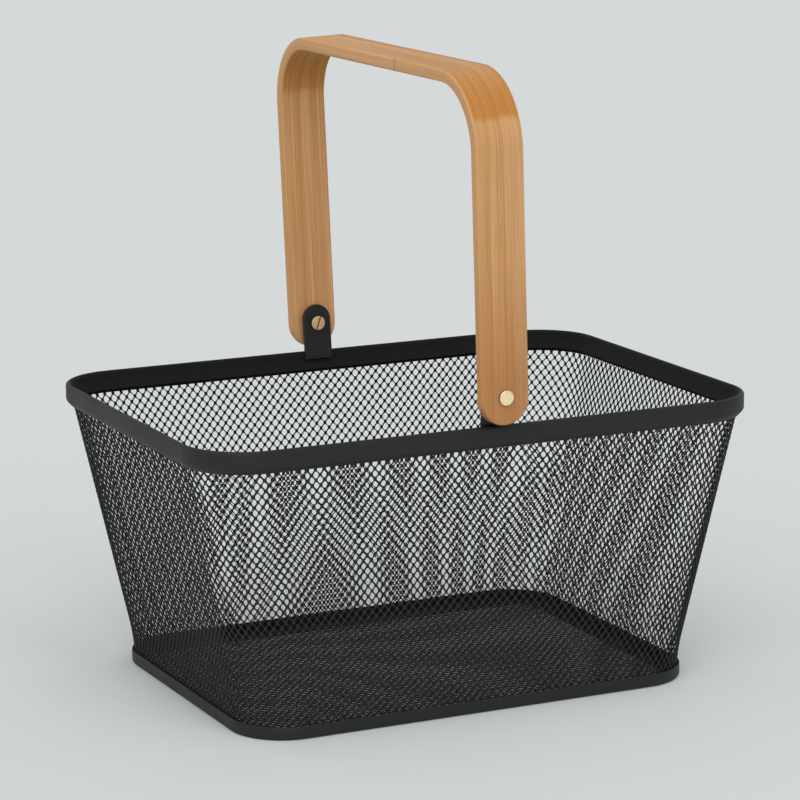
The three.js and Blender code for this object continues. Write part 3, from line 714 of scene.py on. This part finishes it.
def turned(bm, profile, segments=40):
    """Turns a profile of radii and depths round the Y axis."""
    chain = drawn_on(bm, [(radius, depth, 0) for radius, depth in profile])
    bmesh.ops.spin(bm, geom=verts_of(chain) + chain, cent=(0, 0, 0), axis=(0, 1, 0), angle=tau,
                   steps=segments, use_merge=True)
    bmesh.ops.remove_doubles(bm, verts=bm.verts, dist=0.0005)


def stood_at_pivot(bm, side):
    """Moves a piece turned about the Y axis to the swing axis, and for the front turns it half round."""
    if side < 0:
        bmesh.ops.rotate(bm, cent=(0, 0, 0), matrix=Matrix.Rotation(pi, 3, "Z"), verts=bm.verts)
    bmesh.ops.translate(bm, vec=(0, 0, pivot_height), verts=bm.verts)
    bmesh.ops.recalc_face_normals(bm, faces=bm.faces)
    return bm


def binding_post(side):
    """Brass post with a plain, barely domed head outside the leg and a barrel through leg and ear."""
    bm = bmesh.new()
    seat = post_top - HEAD_THICK
    dome = [(HEAD_RADIUS - inset, post_top - drop) for inset, drop in POST_DOME]
    turned(bm, [(0, post_end), (BARREL_RADIUS, post_end), (BARREL_RADIUS, seat),
                (HEAD_RADIUS - HEAD_CHAMFER, seat), (HEAD_RADIUS, seat + HEAD_CHAMFER), *dome, (0, post_top)])
    return stood_at_pivot(bm, side)


def slotted_screw(side):
    """Brass screw inside the ear: shank in the bore of the post, and a head cut across by a slot."""
    bm = bmesh.new()
    seat, slot_floor = screw_top + HEAD_THICK, screw_top + SLOT_DEPTH
    dome = [(HEAD_RADIUS - inset, screw_top + drop) for inset, drop in SCREW_DOME]
    turned(bm, [(0, seat + SHANK_REACH), (SHANK_RADIUS, seat + SHANK_REACH), (SHANK_RADIUS, seat),
                (HEAD_RADIUS - HEAD_CHAMFER, seat), (HEAD_RADIUS, seat - HEAD_CHAMFER),
                (HEAD_RADIUS, slot_floor), (0, slot_floor)])
    for half_turn in (0, pi):
        lobe = bmesh.new()
        turned(lobe, [(0, slot_floor), (HEAD_RADIUS, slot_floor), *dome, (0, screw_top)])
        bmesh.ops.edgeloop_fill(lobe, edges=trim(lobe, (SLOT_WIDTH / 2, 0, 0), (-1, 0, 0)))
        slot_turn = Matrix.Rotation(half_turn + radians(SLOT_TURN), 3, "Y")
        bmesh.ops.rotate(lobe, cent=(0, 0, 0), matrix=slot_turn, verts=lobe.verts)
        lobe_mesh = bpy.data.meshes.new("lobe")
        lobe.to_mesh(lobe_mesh)
        lobe.free()
        bm.from_mesh(lobe_mesh)
        bpy.data.meshes.remove(lobe_mesh)
    return stood_at_pivot(bm, side)


steel, bamboo, brass = powder_coated_steel(), lacquered_bamboo(), turned_brass()

finish_piece("top_rim", top_rim(), steel, "basket")
finish_piece("base_rim", base_rim(), steel, "basket")
finish_piece("floor_mesh", floor_mesh(), steel, "basket", smooth=0)

half_way = 2 * CELLS_PER_QUARTER
panels = {
    "front_wall_mesh": (0, LONG_WALL_REACH, 0, None),
    "right_wall_mesh": (CELLS_PER_QUARTER, SHORT_WALL_REACH, None, 0),
    "back_wall_mesh": (half_way, LONG_WALL_REACH, 0, None),
    "left_wall_mesh": (half_way + CELLS_PER_QUARTER, SHORT_WALL_REACH, None, 0),
    "front_right_corner_mesh": (CORNER_MIDDLE, CORNER_REACH, 1, -1),
    "back_right_corner_mesh": (half_way - CORNER_MIDDLE, CORNER_REACH, 1, 1),
    "back_left_corner_mesh": (half_way + CORNER_MIDDLE, CORNER_REACH, -1, 1),
    "front_left_corner_mesh": (2 * half_way - CORNER_MIDDLE, CORNER_REACH, -1, -1),
}
for name, panel in panels.items():
    finish_piece(name, wall_mesh(*panel), steel, "basket", smooth=0)

for name, side in (("front", -1), ("back", 1)):
    keep_flat(finish_piece(name + "_ear", ear(side), steel, "basket"))
    finish_piece(name + "_post", binding_post(side), brass, "basket")
    finish_piece(name + "_screw", slotted_screw(side), brass, "basket")
keep_flat(finish_piece("handle", handle(), bamboo, "handle"))


def studio_sky():
    """Even sky that lights the basket, and a pale sweep where it is seen or mirrored."""
    world = bpy.data.worlds.new("studio")
    bpy.context.scene.world = world
    world.use_nodes = True
    tree = world.node_tree
    tree.nodes.clear()
    rays = add(tree, "LightPath").outputs
    seen = add(tree, "Math", {0: rays["Is Camera Ray"], 1: rays["Is Glossy Ray"]}, operation="MAXIMUM")
    seen = add(tree, "Math", {0: seen.outputs[0], 1: rays["Is Transmission Ray"]}, operation="MAXIMUM")
    sky = add(tree, "Background", {"Color": linear("#ebebeb"), "Strength": SKY_STRENGTH})
    # The sweep stands behind and beside the basket. The room in front of it, over the floor, is mirrored dim.
    way = add(tree, "TexCoord").outputs["Generated"]
    frontward = add(tree, "VectorMath", {0: way, 1: ROOM_WAY}, operation="DOT_PRODUCT")
    dim = add(tree, "MapRange", {"Value": frontward.outputs["Value"], "From Min": 0.1, "From Max": 0.6,
                                 "To Max": 0.88}, interpolation_type="SMOOTHSTEP")
    dim = add(tree, "Math", {0: dim.outputs[0], 1: rays["Is Glossy Ray"]}, operation="MULTIPLY")
    level = add(tree, "Math", {0: 1.0, 1: dim.outputs[0]}, operation="SUBTRACT")
    sweep = add(tree, "Background", {"Color": linear("#d3d7d8"), "Strength": level.outputs[0]})
    either = add(tree, "MixShader", {0: seen.outputs[0], 1: sky.outputs[0], 2: sweep.outputs[0]})
    add(tree, "OutputWorld", {"Surface": either.outputs[0]})


def paper_floor():
    """Wide sheet of matte paper that the basket stands on."""
    bm = bmesh.new()
    bmesh.ops.create_grid(bm, x_segments=1, y_segments=1, size=PAPER_REACH * MM)
    bmesh.ops.translate(bm, vec=(0, 0, -PAPER_DROP * MM), verts=bm.verts)
    mesh = bpy.data.meshes.new("floor")
    bm.to_mesh(mesh)
    bm.free()
    floor = bpy.data.objects.new("floor", mesh)
    bpy.context.scene.collection.objects.link(floor)
    paper, tree = new_material("matte_paper")
    place = add(tree, "TexCoord").outputs["Object"]
    # Faint cloudiness of a paper sweep, in patches about 400 mm across.
    cloud = add(tree, "TexNoise", {"Vector": place, "Scale": 1 / (400 * MM), "Detail": 2.0})
    colour = add(tree, "Mix", {0: cloud.outputs["Fac"], 6: linear("#d2d6d7"), 7: linear("#d6d9da")},
                 data_type="RGBA")
    matte = add(tree, "BsdfPrincipled", {"Base Color": colour.outputs[2], "Roughness": 0.8,
                                         "Specular IOR Level": 0.0})
    add(tree, "OutputMaterial", {"Surface": matte.outputs[0]})
    mesh.materials.append(paper)


def softboxes():
    """Two broad soft lamps on the camera's side, so that the shadow stays short."""
    for name, (strength, spread, tilt, turn) in SOFTBOXES.items():
        lamp = bpy.data.lights.new(name, "SUN")
        lamp.energy, lamp.angle = strength, radians(spread)
        light = bpy.data.objects.new(name, lamp)
        light.rotation_euler = (radians(tilt), 0, radians(turn))
        bpy.context.scene.collection.objects.link(light)


def camera():
    """The photograph's own camera: place, tilt and lens fitted to the rim, the base and the handle."""
    azimuth, elevation, roll = radians(CAMERA_AZIMUTH), radians(CAMERA_ELEVATION), radians(CAMERA_ROLL)
    back = Vector((sin(azimuth) * cos(elevation), -cos(azimuth) * cos(elevation), sin(elevation)))
    right = Vector((cos(azimuth), sin(azimuth), 0))
    up = back.cross(right)
    right, up = right * cos(roll) + up * sin(roll), up * cos(roll) - right * sin(roll)
    lens = bpy.data.cameras.new("photograph")
    lens.sensor_width, lens.lens = CAMERA_SENSOR, CAMERA_LENS
    made = bpy.data.objects.new("photograph", lens)
    place = Vector(CAMERA_TARGET) * MM + back * CAMERA_DISTANCE * MM
    made.matrix_world = Matrix.Translation(place) @ Matrix((right, up, back)).transposed().to_4x4()
    bpy.context.scene.collection.objects.link(made)
    bpy.context.scene.camera = made


studio_sky()
paper_floor()
softboxes()
camera()
bpy.context.scene.view_settings.view_transform = "Standard"
